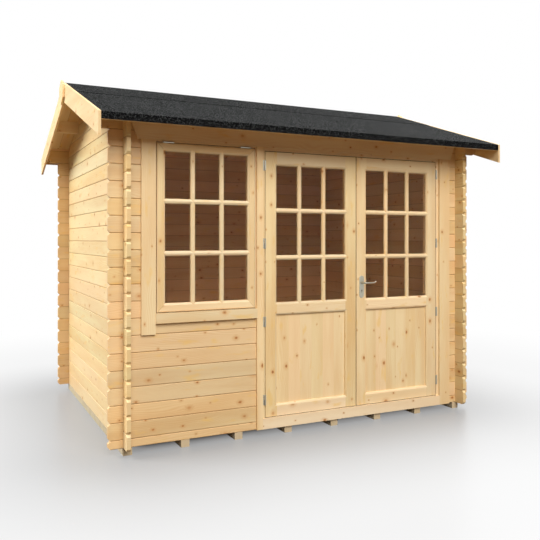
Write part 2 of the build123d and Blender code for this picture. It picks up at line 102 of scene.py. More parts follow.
PLATE_EDGE = 0.003
LEVER_ABOVE_CAD_FOOT = 0.007
KEYHOLE_RADIUS = 0.0052
KEYHOLE_SLOT = 0.005
KEYHOLE_FOOT = 0.017
KEYHOLE_BELOW_LEVER = 0.060
KEYHOLE_PROUD = 0.0002
WELD = 1e-6

# Knots, in cells per metre along and across a board
KNOTS_LONG = 4.6
KNOTS_WIDE = 11.5
KNOT_CHANCE = 0.62
KNOT_STRETCH = 0.72
KNOT_SMALLEST = 0.0038
KNOT_GROWTH = 0.008
KNOT_RAGGED = 0.007

# Noise of the grain, as rates along, across and into a board
DRIFT = (1.3, 5.0, 1.0)
TONE = (0.9, 7.0, 1.0)
FIBRES = (9.0, 420.0, 420.0)
FLAMES = (5.0, 16.0, 1.0)

# Growth bands in radians per metre of width, growth rings in radians per board
BANDS = 620.0
BAND_WANDER = 0.16
BAND_BEND = 0.012
RINGS = 190.0

# Where a face turns to end grain, a mitre line's soft edge and the height of the grain
END_FACING = (0.75, 0.9)
MITRE_LINE = (0.0006, 0.0022)
GRAIN_DEPTH = 0.0006

# Felt's granules and their clumps, and the brushed lines of steel along X, Y and Z
GRANULES = 260.0
CLUMPS = 105.0
GRANULE_DEPTH = 0.006
BRUSHED = (900.0, 900.0, 30.0)

# Wood colours, linear
PINE = {
    "pale": (0.85, 0.67, 0.38), "warm": (0.78, 0.55, 0.28), "peach": (0.86, 0.59, 0.34),
    "streak": (0.68, 0.38, 0.15),
}
# Side walls: the logs' pine painted lighter and yellower, as painted sunlight
PAINTED_SUN_PINE = {
    "pale": (0.81, 0.68, 0.37), "warm": (0.75, 0.55, 0.27), "peach": (0.82, 0.58, 0.32),
    "streak": (0.65, 0.38, 0.13),
}
PALE_PINE = {
    "pale": (0.86, 0.71, 0.45), "warm": (0.79, 0.59, 0.33), "peach": (0.87, 0.63, 0.40),
    "streak": (0.68, 0.40, 0.18),
}
LOG_PINE = {
    "pale": (0.77, 0.58, 0.31), "warm": (0.69, 0.46, 0.22), "peach": (0.77, 0.49, 0.27),
    "streak": (0.60, 0.32, 0.12),
}
TREATED_PINE = {
    "pale": (0.64, 0.55, 0.38), "warm": (0.54, 0.46, 0.31), "peach": (0.58, 0.48, 0.33),
    "streak": (0.38, 0.32, 0.20),
}
RESIN = (0.80, 0.50, 0.13)
KNOT_RING = (0.55, 0.24, 0.07)
KNOT_CORE = (0.16, 0.055, 0.018)
END_GRAIN = (0.66, 0.40, 0.17)
JOINT_SHADE = (0.30, 0.15, 0.055)

# Other colours, linear
FELT_DARK = (0.0035, 0.0035, 0.0038)
FELT_PALE = (0.105, 0.110, 0.108)
STEEL = (0.47, 0.45, 0.37)
# painted shade: dark brown of the strips in the gaps and of the keyholes
HOLLOW_SHADE_BROWN = (0.045, 0.024, 0.013)
# painted shade: the glass's warm tint darkens the room seen through the panes
GLASS_SHADE_TINT = (0.96, 0.785, 0.655)

# Near the cabin little white is mixed in, so the floor there is painted darker: painted shade over the
# real shadow, which is kept at reduced strength.
# Floor: the fade to white begins SHADE_INSET inside the bearers' edge. Each of its steps is
# where it starts, where it ends, both in metres from there, and its share of the fade.
FLOOR_SIZE = 120.0
FLOOR_SEEN = (0.19, 0.195, 0.20)
FLOOR_BOUNCE = (0.085, 0.05, 0.022)
FLOOR_ROUGHNESS = 0.32
FLOOR_SPECULAR = 0.2
SHADE_INSET = 0.22
FADE_STEPS = ((0.0, 0.16, 0.26), (0.0, 1.1, 0.25), (0.4, 1.8, 0.34), (1.5, 4.5, 0.15))

# Dome and lamps; each lamp has a name, a place, a point it faces, a side length and watts
BACKDROP = 1.0
DOME_LOW = (0.07, 0.05, 0.032)
DOME_HIGH = (0.50, 0.50, 0.50)
DOME_RAMP = (0.25, 0.85)
LAMPS = (
    ("left_softbox", (-12.0, 3.0, 10.4), (-1.4, 0.0, 1.0), 8.0, 2850.0),
    ("front_softbox", (-1.5, -12.5, 10.6), (0.2, -1.0, 1.1), 10.0, 2600.0),
    ("right_softbox", (12.0, 6.0, 9.0), (1.4, 0.0, 1.0), 8.0, 1300.0),
)

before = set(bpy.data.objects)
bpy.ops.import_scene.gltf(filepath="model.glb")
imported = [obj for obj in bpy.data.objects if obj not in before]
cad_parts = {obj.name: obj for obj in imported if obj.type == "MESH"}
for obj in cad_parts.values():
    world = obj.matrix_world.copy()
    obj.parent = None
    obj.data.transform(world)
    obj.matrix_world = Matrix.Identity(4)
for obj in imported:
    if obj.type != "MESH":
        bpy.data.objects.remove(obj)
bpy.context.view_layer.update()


class Nodes:
    """Short calls for a material's node tree."""

    def __init__(self, tree):
        self.tree = tree

    def add(self, kind, **settings):
        node = self.tree.nodes.new(kind)
        for key, value in settings.items():
            setattr(node, key, value)
        return node

    def put(self, socket, value):
        """Link a socket or set its default."""
        if isinstance(value, bpy.types.NodeSocket):
            self.tree.links.new(value, socket)
        else:
            socket.default_value = value

    def math(self, operation, a, b=0.0):
        node = self.add("ShaderNodeMath", operation=operation)
        self.put(node.inputs[0], a)
        self.put(node.inputs[1], b)
        return node.outputs[0]

    def scaled(self, value, factor, shift=0.0):
        """value * factor + shift."""
        node = self.add("ShaderNodeMath", operation="MULTIPLY_ADD")
        for socket, number in zip(node.inputs, (value, factor, shift)):
            self.put(socket, number)
        return node.outputs[0]

    def product(self, *values):
        result = values[0]
        for value in values[1:]:
            result = self.math("MULTIPLY", result, value)
        return result

    def vector(self, x, y, z=0.0):
        node = self.add("ShaderNodeCombineXYZ")
        for socket, value in zip(node.inputs, (x, y, z)):
            self.put(socket, value)
        return node.outputs[0]

    def split(self, vector):
        node = self.add("ShaderNodeSeparateXYZ")
        self.put(node.inputs[0], vector)
        return node.outputs

    def dice(self, vector):
        """A random value and three random channels for each place."""
        node = self.add("ShaderNodeTexWhiteNoise", noise_dimensions="2D")
        self.put(node.inputs["Vector"], vector)
        return node.outputs["Value"], self.channels(node.outputs["Color"])

    def channels(self, colour):
        node = self.add("ShaderNodeSeparateColor")
        self.put(node.inputs[0], colour)
        return node.outputs

    def noise(self, vector, scale, detail=2.0, roughness=0.5):
        node = self.add("ShaderNodeTexNoise")
        self.put(node.inputs["Vector"], vector)
        node.inputs["Scale"].default_value = scale
        node.inputs["Detail"].default_value = detail
        node.inputs["Roughness"].default_value = roughness
        return node.outputs[0]

    def stretched(self, place, stretch, detail=2.0, roughness=0.5):
        """Noise with its own rate of change along each axis."""
        axes = [self.scaled(value, rate) for value, rate in zip(place, stretch)]
        return self.noise(self.vector(*axes), 1.0, detail, roughness)

    def length(self, a, b):
        return self.math("SQRT", self.math("ADD", self.product(a, a), self.product(b, b)))

    def cells(self, vector, scale, dimensions="3D"):
        node = self.add("ShaderNodeTexVoronoi", voronoi_dimensions=dimensions, feature="F1")
        self.put(node.inputs["Vector"], vector)
        node.inputs["Scale"].default_value = scale
        return node.outputs

    def step(self, value, low, high, to_low=0.0, to_high=1.0):
        """Smooth change from to_low to to_high between low and high."""
        node = self.add("ShaderNodeMapRange", interpolation_type="SMOOTHSTEP")
        for socket, number in zip(node.inputs, (value, low, high, to_low, to_high)):
            self.put(socket, number)
        return node.outputs[0]

    def choose(self, factor, a, b):
        """a where the factor is 0, b where it is 1."""
        node = self.add("ShaderNodeMix", data_type="FLOAT")
        self.put(node.inputs[0], factor)
        self.put(node.inputs[2], a)
        self.put(node.inputs[3], b)
        return node.outputs[0]

    def mix(self, factor, a, b):
        node = self.add("ShaderNodeMix", data_type="RGBA")
        self.put(node.inputs[0], factor)
        for socket, value in ((node.inputs[6], a), (node.inputs[7], b)):
            if isinstance(value, tuple):
                value = (*value, 1.0)
            self.put(socket, value)
        return node.outputs[2]

    def bump(self, height, strength, distance):
        node = self.add("ShaderNodeBump")
        self.put(node.inputs["Height"], height)
        node.inputs["Strength"].default_value = strength
        node.inputs["Distance"].default_value = distance
        return node.outputs[0]


def new_material(name):
    """Material with its shader; returns it, the node calls and the shader."""
    material = bpy.data.materials.new(name)
    material.use_nodes = True
    tree = material.node_tree
    return material, Nodes(tree), tree.nodes["Principled BSDF"]


def straight_grain(n, along, across):
    """Axes of boards that lie one way: length, width, depth, and how far a face is end grain."""
    place = n.add("ShaderNodeTexCoord")
    axes = dict(zip("XYZ", n.split(place.outputs["Object"])))
    facing = dict(zip("XYZ", n.split(place.outputs["Normal"])))
    depth = axes[({"X", "Y", "Z"} - {along, across}).pop()]
    end = n.step(n.math("ABSOLUTE", facing[along]), *END_FACING)
    return axes[along], axes[across], depth, end


def framed_grain(n, node):
    """Axes of a mitred frame: its stiles run up and its rails run across; and its mitre lines."""
    low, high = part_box(node)
    place = n.split(n.add("ShaderNodeTexCoord").outputs["Object"])

    def past_edge(axis):
        from_middle = n.scaled(place[axis], 1.0, -(low[axis] + high[axis]) / 2)
        return n.scaled(n.math("ABSOLUTE", from_middle), 1.0, -(high[axis] - low[axis]) / 2)

    sideways = past_edge(0)
    upright = past_edge(2)
    stile = n.math("GREATER_THAN", sideways, upright)
    mitre = n.step(n.math("ABSOLUTE", n.math("SUBTRACT", sideways, upright)), *MITRE_LINE, 1.0, 0.0)
    length = n.choose(stile, place[0], place[2])
    width = n.choose(stile, place[2], place[0])
    return length, width, place[1], mitre


def knots_in(n, board, end, share):
    """Knots: one chance in each cell of a stretched grid. Returns knot, halo, core and dice."""
    long, wide, depth = board
    spread = n.cells(n.vector(n.scaled(long, KNOTS_LONG), n.scaled(wide, KNOTS_WIDE)), 1.0, "2D")
    centre = n.split(spread["Position"])
    kind = n.channels(spread["Color"])
    off_long = n.scaled(n.math("SUBTRACT", long, n.scaled(centre[0], 1 / KNOTS_LONG)), KNOT_STRETCH)
    off_wide = n.math("SUBTRACT", wide, n.scaled(centre[1], 1 / KNOTS_WIDE))
    ragged = n.scaled(n.noise(n.vector(*board), 70.0), KNOT_RAGGED, -KNOT_RAGGED / 2)
    distance = n.math("ADD", n.length(off_long, off_wide), ragged)
    present = n.product(n.math("LESS_THAN", kind[0], KNOT_CHANCE * share), n.scaled(end, -1.0, 1.0))
    radius = n.scaled(n.math("POWER", kind[1], 3.0), KNOT_GROWTH, KNOT_SMALLEST)
    ratio = n.math("DIVIDE", distance, radius)
    knot, halo, core = (
        n.product(n.step(ratio, inner, outer, 1.0, 0.0), present)
        for inner, outer in ((0.75, 1.25), (0.9, 3.4), (0.15, 0.7))
    )
    return knot, halo, core, kind[2]


def pine(name, axes, pitch, start, wood=PINE, knots=1.0, gloss=0.42, variety=0.12, joint=0.0,
         groove=True, framed=False):
    """Planed pine. axes gives its length, width, depth and end grain or mitre line in its tree.

    A board begins every pitch metres of width from start. joint darkens a line of that half
    width between neighbouring boards, and groove also sinks it.
    """
    material, n, shader = new_material(name)
    length, width, depth, end = axes(n)

    # each board has its own place in the grain, tone and saturation
    across = n.math("DIVIDE", n.math("SUBTRACT", width, start), pitch)
    piece = n.add("ShaderNodeObjectInfo").outputs["Random"]
    far_side = n.math("GREATER_THAN", depth, 0.0)
    key = n.math("ADD", n.scaled(piece, 91.7), n.scaled(far_side, 13.1))
    chance, shuffle = n.dice(n.vector(n.math("FLOOR", across), key))
    long = n.math("ADD", length, n.scaled(shuffle[0], 23.0))
    wide = n.math("ADD", width, n.scaled(shuffle[1], 7.0))
    board = (long, wide, depth)
    knot, halo, core, strength = knots_in(n, board, end, knots)

    # slow tone, growth bands that bend round the knots, fine fibres and resin flames
    drift = n.stretched(board, DRIFT)
    tone = n.stretched(board, TONE, 3.0, 0.55)
    fibres = n.stretched(board, FIBRES, 3.0, 0.6)
    flames = n.stretched(board, FLAMES, 3.0, 0.6)
    bent = n.math("ADD", wide, n.scaled(halo, BAND_BEND))
    band_at = n.math("ADD", bent, n.scaled(drift, BAND_WANDER))
    bands = n.step(n.math("SINE", n.scaled(band_at, BANDS)), -0.6, 1.0)
    bands = n.product(bands, n.step(drift, 0.38, 0.62))

    colour = n.mix(n.step(tone, 0.36, 0.68), wood["pale"], wood["warm"])
    colour = n.mix(n.scaled(n.math("POWER", shuffle[0], 2.0), 0.55), colour, wood["peach"])
    colour = n.mix(n.scaled(bands, 0.26), colour, wood["streak"])
    colour = n.mix(n.scaled(n.step(fibres, 0.5, 0.8), 0.22), colour, wood["streak"])
    shade = n.add("ShaderNodeHueSaturation")
    n.put(shade.inputs["Color"], colour)
    n.put(shade.inputs["Value"], n.scaled(chance, variety, 1.0 - variety / 2))
    n.put(shade.inputs["Saturation"], n.scaled(shuffle[2], variety, 1.0 - variety / 2))
    colour = n.mix(n.scaled(n.step(flames, 0.57, 0.74), 0.5), shade.outputs[0], RESIN)
    colour = n.mix(n.scaled(halo, 0.45), colour, wood["streak"])
    colour = n.mix(n.product(knot, n.scaled(strength, 0.55, 0.40)), colour, KNOT_RING)
    colour = n.mix(n.product(core, n.scaled(strength, 0.7, 0.1)), colour, KNOT_CORE)
    height = n.math("ADD", n.scaled(fibres, 0.6), n.scaled(knot, -0.8))

    if framed:
        colour = n.mix(n.scaled(end, 0.6), colour, JOINT_SHADE)
        height = n.math("SUBTRACT", height, n.scaled(end, 4.0))
    else:
        # growth rings on the sawn ends
        ring_x = n.math("SUBTRACT", n.math("FRACT", across), n.scaled(shuffle[1], 1.2, -0.1))
        radius = n.length(ring_x, n.scaled(depth, 1 / pitch))
        wavy = n.math("ADD", radius, n.scaled(tone, 0.1))
        rings = n.step(n.math("SINE", n.scaled(wavy, RINGS)), -0.2, 1.0)
        colour = n.mix(n.product(end, n.scaled(rings, 0.35, 0.15)), colour, END_GRAIN)
    if joint:
        inside = n.math("ABSOLUTE", n.scaled(n.math("FRACT", across), 1.0, -0.5))
        line = n.step(n.scaled(inside, -pitch, pitch / 2), joint * 0.4, joint, 1.0, 0.0)
        colour = n.mix(n.scaled(line, 0.6), colour, JOINT_SHADE)
        if groove:
            height = n.math("SUBTRACT", height, n.scaled(line, 6.0))
    n.put(shader.inputs["Base Color"], colour)
    n.put(shader.inputs["Roughness"], n.step(fibres, 0.2, 0.8, gloss, gloss + 0.16))
    shader.inputs["Specular IOR Level"].default_value = 0.25
    n.put(shader.inputs["Normal"], n.bump(height, 0.5, GRAIN_DEPTH))
    return material


def boards(name, along, across, pitch, start, **look):
    """Pine boards that all lie one way."""
    return pine(name, lambda n: straight_grain(n, along, across), pitch, start, **look)


def mitred(name, node, pitch, **look):
    """Pine frame with mitred corners."""
    return pine(name, lambda n: framed_grain(n, node), pitch, 0.0, framed=True, **look)


def felt():
    """Bitumen felt with slate granules; where it folds down over an edge it is darker, as painted shade.
    """
    material, n, shader = new_material("mineral_felt")
    place = n.add("ShaderNodeTexCoord")
    grains = n.cells(place.outputs["Object"], GRANULES)
    tint = n.channels(grains["Color"])
    clumps = n.noise(place.outputs["Object"], CLUMPS, 2.0, 0.8)
    # painted shade: faces that do not look up, such as the folds over the eaves, show their granules at
    # half strength, so they are darker
    flat = n.step(n.split(place.outputs["Normal"])[2], 0.4, 0.8)
    granule_clumps_and_painted_shade = n.product(n.step(clumps, 0.49, 0.60), n.scaled(flat, 0.5, 0.5))
    colour = n.mix(n.step(tint[0], 0.1, 0.95, 0.35, 1.0), FELT_DARK, FELT_PALE)
    n.put(shader.inputs["Base Color"], n.mix(granule_clumps_and_painted_shade, FELT_DARK, colour))
    n.put(shader.inputs["Roughness"], n.step(tint[1], 0.0, 1.0, 0.85, 1.0))
    shader.inputs["Specular IOR Level"].default_value = 0.02
    height = n.math("ADD", n.scaled(grains["Distance"], 0.4), clumps)
    n.put(shader.inputs["Normal"], n.bump(height, 0.9, GRANULE_DEPTH))
    return material


def glass():
    """Glass, slightly dusty, tinted warm as painted shade of the room behind it."""
    material, n, shader = new_material("window_glass")
    haze = n.noise(n.add("ShaderNodeTexCoord").outputs["Object"], 6.0, 3.0)
    n.put(shader.inputs["Roughness"], n.step(haze, 0.3, 0.8, 0.01, 0.05))
    shader.inputs["Base Color"].default_value = (*GLASS_SHADE_TINT, 1.0)
    shader.inputs["IOR"].default_value = 1.2
    shader.inputs["Transmission Weight"].default_value = 1.0
    return material


def steel():
    """Satin steel with fine brushed lines."""
    material, n, shader = new_material("satin_steel")
    place = n.split(n.add("ShaderNodeTexCoord").outputs["Object"])
    lines = n.stretched(place, BRUSHED)
    n.put(shader.inputs["Base Color"], n.mix(lines, tuple(0.8 * c for c in STEEL), STEEL))
    shader.inputs["Metallic"].default_value = 1.0
    n.put(shader.inputs["Roughness"], n.step(lines, 0.2, 0.8, 0.26, 0.42))
    n.put(shader.inputs["Normal"], n.bump(lines, 0.15, 0.0002))
    return material


def hollow_shade():
    """Dark brown, slightly mottled: painted shade for the gaps round the leaves and the sash, and for the
    keyholes.
    """
    material, n, shader = new_material("painted_hollow_shade")
    mottle = n.noise(n.add("ShaderNodeTexCoord").outputs["Object"], 160.0, 3.0)
    n.put(shader.inputs["Base Color"], n.mix(mottle, HOLLOW_SHADE_BROWN, tuple(1.8 * c for c in HOLLOW_SHADE_BROWN)))
    n.put(shader.inputs["Roughness"], n.step(mottle, 0.3, 0.7, 0.6, 0.8))
    n.put(shader.inputs["Normal"], n.bump(mottle, 0.3, 0.0004))
    return material


MATERIALS = {
    "front_logs": boards("front_logs", "X", "Z", LOG_COURSE, FRONT_LOGS_START, wood=LOG_PINE,
                         joint=LOG_JOINT, groove=False),
    # side walls: pine painted lighter and yellower as painted sunlight
    "side_logs": boards("side_logs", "Y", "Z", LOG_COURSE, SIDE_LOGS_START, wood=PAINTED_SUN_PINE,
                        joint=LOG_JOINT, groove=False),
    "lying_boards": boards("lying_boards", "X", "Z", LYING_BOARD, 0.0, wood=PALE_PINE),
    "standing_boards": boards("standing_boards", "Z", "X", STANDING_BOARD, 0.0, knots=0.75),
    "panel_boards": boards("panel_boards", "Z", "X", PANEL_BOARD, PANEL_BOARDS_START, variety=0.05),
    "barge_boards": boards("barge_boards", "Y", "Z", BARGE_BOARD, 0.0, knots=0.5),
    "roof_boards": boards("roof_boards", "Y", "X", LINING_BOARD, 0.0, joint=LINING_JOINT),
    "floor_boards": boards("floor_boards", "X", "Y", LINING_BOARD, 0.0, joint=LINING_JOINT),
    "window_sash": mitred("window_sash", "window_sash", FRAME_MEMBER, knots=0.6),
    "window_frame": mitred("window_frame", "window_frame", FRAME_MEMBER, knots=0.6),
    "bearers": boards("bearers", "Y", "X", BEARER, 0.0, wood=TREATED_PINE, knots=0.6, gloss=0.6),
    "felt": felt(),
    "glass": glass(),
    "steel": steel(),
    "hollow_shade": hollow_shade(),
}


def look_of(node):
    """Material of one CAD node."""
    if node in MATERIALS:
        return node
    if "glass" in node:
        return "glass"
    if "felt" in node:
        return "felt"
    if node == "floor_bearers":
        return "bearers"
    if "hinge" in node or "handle" in node:
        return "steel"
    if node.startswith("roof_boards"):
        return "roof_boards"
    if node.startswith(("barge", "apex")):
        return "barge_boards"
    if node.startswith(("left_wall", "right_wall")):
        return "side_logs"
    if "logs" in node:
        return "front_logs"
    if "panel" in node:
        return "panel_boards"
    if "stiles" in node or "posts" in node or node == "front_casings":
        return "standing_boards"
    return "lying_boards"


def dress_cad_nodes():
    """Give every node of the frame its material."""
    for name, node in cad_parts.items():
        node.data.materials.clear()
        node.data.materials.append(MATERIALS[look_of(name)])


def add_piece(name, mesh, looks, body):
    """Turn a bmesh into a piece that moves with a body."""
    data = bpy.data.meshes.new(name)
    mesh.to_mesh(data)
    mesh.free()
    for look in looks:
        data.materials.append(MATERIALS[look])
    piece = bpy.data.objects.new(name, data)
    bpy.context.scene.collection.objects.link(piece)
    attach(piece, body)
    return piece


def rounded_rim(mesh, opening, front_y, radius, outward):
    """Quarter-round along the four sides of an opening, mitred at its corners.

    opening is (x0, x1, z0, z1) at the deep end of the round. outward is 1 where the round
    climbs away from the opening and -1 where it falls off round an outer edge.
    """
    x0, x1, z0, z1 = opening
    rings = []
    for step in range(ARC_STEPS + 1):
        turn = math.pi / 2 * step / ARC_STEPS
        out = outward * radius * (1 - math.sin(turn))
        y = front_y + MOULDING_QUIRK + (radius - MOULDING_QUIRK) * (1 - math.cos(turn))
        rings.append((out, y))
    rings.insert(0, (outward * radius, front_y))
    loops = []
    for out, y in rings:
        corners = [(x0 - out, z0 - out), (x1 + out, z0 - out), (x1 + out, z1 + out), (x0 - out, z1 + out)]
        loops.append([mesh.verts.new((x, y, z)) for x, z in corners])
    for first, second in zip(loops, loops[1:]):
        for side in range(4):
            after = (side + 1) % 4
            face = mesh.faces.new((first[side], first[after], second[after], second[side]))
            face.smooth = True
            face.material_index = side % 2
    for loop in zip(*loops):
        for near, far in zip(loop, loop[1:]):
            mesh.edges.get((near, far)).smooth = False


def panes(node):
    """Openings between the glazing bars, from the box of a sheet of glass."""
    low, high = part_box(node)
    for column in range(PANES_EACH_WAY):
        for row in range(PANES_EACH_WAY):
            place = []
            for axis, index in ((0, column), (2, row)):
                size = (high[axis] - low[axis] - (PANES_EACH_WAY - 1) * BAR_WIDTH) / PANES_EACH_WAY
                start = low[axis] + index * (size + BAR_WIDTH)
                place += [start, start + size]
            yield place


def face_up(mesh, towards):
    """Turn faces so that their normals lean towards a direction."""
    mesh.normal_update()
    turned = [face for face in mesh.faces if face.normal.dot(towards) < 0]
    bmesh.ops.reverse_faces(mesh, faces=turned)


def mouldings():
    """Rounded mouldings of the leaves and the sash, over the chamfers of the frame's solids."""
    forward = Vector((0.0, -1.0, 0.0))
    for body, name in (("left_door", "left_door"), ("right_door", "right_door"), ("cabin", "window")):
        mesh = bmesh.new()
        front_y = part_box(f"{name}_bars")[0][1]
        for opening in panes(f"{name}_glass"):
            rounded_rim(mesh, opening, front_y, MOULDING, 1)
        if name == "window":
            low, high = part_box("window_sash")
            rounded_rim(mesh, (low[0], high[0], low[2], high[2]), front_y, SASH_EDGE, -1)
        else:
            low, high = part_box(f"{name}_panel")
            rounded_rim(mesh, (low[0], high[0], low[2], high[2]), front_y, MOULDING, 1)
        face_up(mesh, forward)
        add_piece(f"{name}_mouldings", mesh, ("lying_boards", "standing_boards"), body)


def bar(mesh, low, high):
    """Planed batten between two corners, with its long edges eased."""
    made = bmesh.ops.create_cube(mesh, size=1.0)
    for vertex in made["verts"]:
        for axis in range(3):
            vertex.co[axis] = low[axis] if vertex.co[axis] < 0 else high[axis]
    edges = {edge for vertex in made["verts"] for edge in vertex.link_edges}
    bmesh.ops.bevel(mesh, geom=list(edges), offset=BAR_EASING, segments=2, affect="EDGES")


def door_stops():
    """Battens on the posts and under the head that the leaves close against."""
    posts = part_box("door_frame_posts")
    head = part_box("door_frame_head")
    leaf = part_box("left_door_stiles")
    front = leaf[1][1] + STOP_CLEARANCE
    back = posts[1][1] - STOP_CLEARANCE
    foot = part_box("door_sill")[1][2]
    mesh = bmesh.new()
    for x in (head[0][0], head[1][0] - STOP_REACH):
        bar(mesh, (x, front, foot), (x + STOP_REACH, back, head[0][2] - STOP_REACH))
    add_piece("door_stops", mesh, ("standing_boards",), "cabin")
    mesh = bmesh.new()
    bar(mesh, (head[0][0], front, head[0][2] - STOP_REACH), (head[1][0], back, head[0][2]))
    bar(mesh, (head[0][0] + STOP_REACH, front, foot), (head[1][0] - STOP_REACH, back, foot + STOP_REACH))
    add_piece("door_head_stop", mesh, ("lying_boards",), "cabin")


def shade_the_gaps():
    """Dark strips in the gaps round the leaves and the sash, and where the leaves meet: painted shade of
    the gaps.
    """
    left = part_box("left_door_stiles")
    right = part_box("right_door_stiles")
    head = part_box("door_frame_head")
    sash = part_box("window_sash")
    near = left[0][1] + GAP_SHADE_SETBACK
    far = near + GAP_SHADE_DEPTH
    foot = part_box("door_sill")[1][2]
    gap = sash[0][2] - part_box("window_sill_board")[1][2]
    strips = (
        ((head[0][0], foot), (left[0][0] - GAP_SHADE_CLEARANCE, head[0][2])),
        ((right[1][0] + GAP_SHADE_CLEARANCE, foot), (head[1][0], head[0][2])),
        ((head[0][0], left[1][2] + GAP_SHADE_CLEARANCE), (head[1][0], head[0][2])),
        ((head[0][0], foot), (head[1][0], left[0][2] - GAP_SHADE_CLEARANCE)),
        ((sash[0][0] - gap, sash[0][2] - gap), (sash[0][0] - GAP_SHADE_CLEARANCE, sash[1][2] + gap)),
        ((sash[1][0] + GAP_SHADE_CLEARANCE, sash[0][2] - gap), (sash[1][0] + gap, sash[1][2] + gap)),
        ((sash[0][0], sash[1][2] + GAP_SHADE_CLEARANCE), (sash[1][0], sash[1][2] + gap)),
        ((sash[0][0], sash[0][2] - gap), (sash[1][0], sash[0][2] - GAP_SHADE_CLEARANCE)),
    )
    mesh = bmesh.new()
    for (x0, z0), (x1, z1) in strips:
        bar(mesh, (x0, near, z0), (x1, far, z1))
    add_piece("frame_seals", mesh, ("hollow_shade",), "cabin")
    mesh = bmesh.new()
    bar(mesh, (left[1][0] + 2 * GAP_SHADE_CLEARANCE, near, right[0][2]), (right[0][0], far, right[1][2]))
    add_piece("meeting_seal", mesh, ("hollow_shade",), "right_door")


def around(centre, turn, radii, rise):
    """Points evenly round an axis, one at each radius, raised along it."""
    for index, radius in enumerate(radii):
        angle = 2 * math.pi * index / len(radii)
        yield centre + turn @ Vector((math.cos(angle) * radius, math.sin(angle) * radius, rise))


def skin(mesh, loops, smooth):
    """Faces between neighbouring closed loops of points."""
    for first, second in zip(loops, loops[1:]):
        for index in range(len(first)):
            after = (index + 1) % len(first)
            face = mesh.faces.new((first[index], first[after], second[after], second[index]))
            face.smooth = smooth


def screw(mesh, centre, facing):
    """Domed screw head with a cross recess."""
    turn = Vector(facing).to_track_quat("Z", "Y")
    rings = [([share] * SCREW_SIDES, rise) for share, rise in SCREW_PROFILE]
    cross = [RECESS_WAIST if index % 4 else RECESS_ARM for index in range(SCREW_SIDES)]
    rings.append((cross, RECESS_FLOOR))
    loops = []
    for shares, rise in rings:
        radii = [share * SCREW_RADIUS for share in shares]
        spots = around(Vector(centre), turn, radii, rise * SCREW_DOME)
        loops.append([mesh.verts.new(spot) for spot in spots])
    skin(mesh, loops, False)
    mesh.faces.new(loops[-1])


def islands(node):
    """Boxes of the separate solids of a node, as pairs of lowest and highest corners."""
    mesh = bmesh.new()
    mesh.from_mesh(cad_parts[node].data)
    bmesh.ops.remove_doubles(mesh, verts=mesh.verts, dist=WELD)
    left = set(mesh.verts)
    boxes = []
    while left:
        island = {left.pop()}
        edge = list(island)
        while edge:
            for link in edge.pop().link_edges:
                for vertex in link.verts:
                    if vertex in left:
                        left.discard(vertex)
                        island.add(vertex)
                        edge.append(vertex)
        low = [min(vertex.co[axis] for vertex in island) for axis in range(3)]
        high = [max(vertex.co[axis] for vertex in island) for axis in range(3)]
        boxes.append((low, high))
    mesh.free()
    return boxes


def screws():
    """Screws of the door hinges' frame plates and of the backplates."""
    mesh = bmesh.new()
    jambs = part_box("door_frame_head")
    middle_x = (jambs[0][0] + jambs[1][0]) / 2
    for low, high in islands("door_hinge_frame_halves"):
        plate_y = jambs[0][1] - HINGE_PLATE_PROUD
        outer = low[0] if low[0] < middle_x else high[0]
        x = outer + math.copysign(SCREW_RADIUS + SCREW_MARGIN, middle_x - outer)
        for rise in (-HINGE_SCREW_RISE, 0.0, HINGE_SCREW_RISE):
            screw(mesh, (x, plate_y, (low[2] + high[2]) / 2 + rise), (0.0, -1.0, 0.0))
    add_piece("hinge_screws", mesh, ("steel",), "cabin")

    mesh = bmesh.new()
    for low, high in islands("handle_backplates"):
        outside = low[1] < jambs[0][1]
        y = low[1] if outside else high[1]
        for z in (low[2] + PLATE_SCREW_INSET, high[2] - PLATE_SCREW_INSET):
            screw(mesh, ((low[0] + high[0]) / 2, y, z), (0.0, -1.0 if outside else 1.0, 0.0))
    add_piece("backplate_screws", mesh, ("steel",), "right_door")


def eased(corners, reach, steps=8):
    """Path through corners, each turned on a curve that starts reach before it."""
    path = [Vector(corners[0])]
    for before, corner, after in zip(corners, corners[1:], corners[2:]):
        before, corner, after = Vector(before), Vector(corner), Vector(after)
        start = corner + (before - corner).normalized() * reach
        end = corner + (after - corner).normalized() * reach
        for index in range(steps + 1):
            share = index / steps
            path.append(start.lerp(corner, share).lerp(corner.lerp(end, share), share))
    path.append(Vector(corners[-1]))
    return path


def tube(mesh, path, radii):
    """Round bar along a path, closed at both ends."""
    loops = []
    turn = (path[1] - path[0]).to_track_quat("Z", "Y")
    for index, place in enumerate(path):
        before = path[max(index - 1, 0)]
        after = path[min(index + 1, len(path) - 1)]
        heading = (after - before).normalized()
        turn = (turn @ Vector((0.0, 0.0, 1.0))).rotation_difference(heading) @ turn
        spots = around(place, turn, [radii[index]] * LEVER_SIDES, 0.0)
        loops.append([mesh.verts.new(spot) for spot in spots])
    skin(mesh, loops, True)
    mesh.faces.new(loops[0][::-1])
    mesh.faces.new(loops[-1])


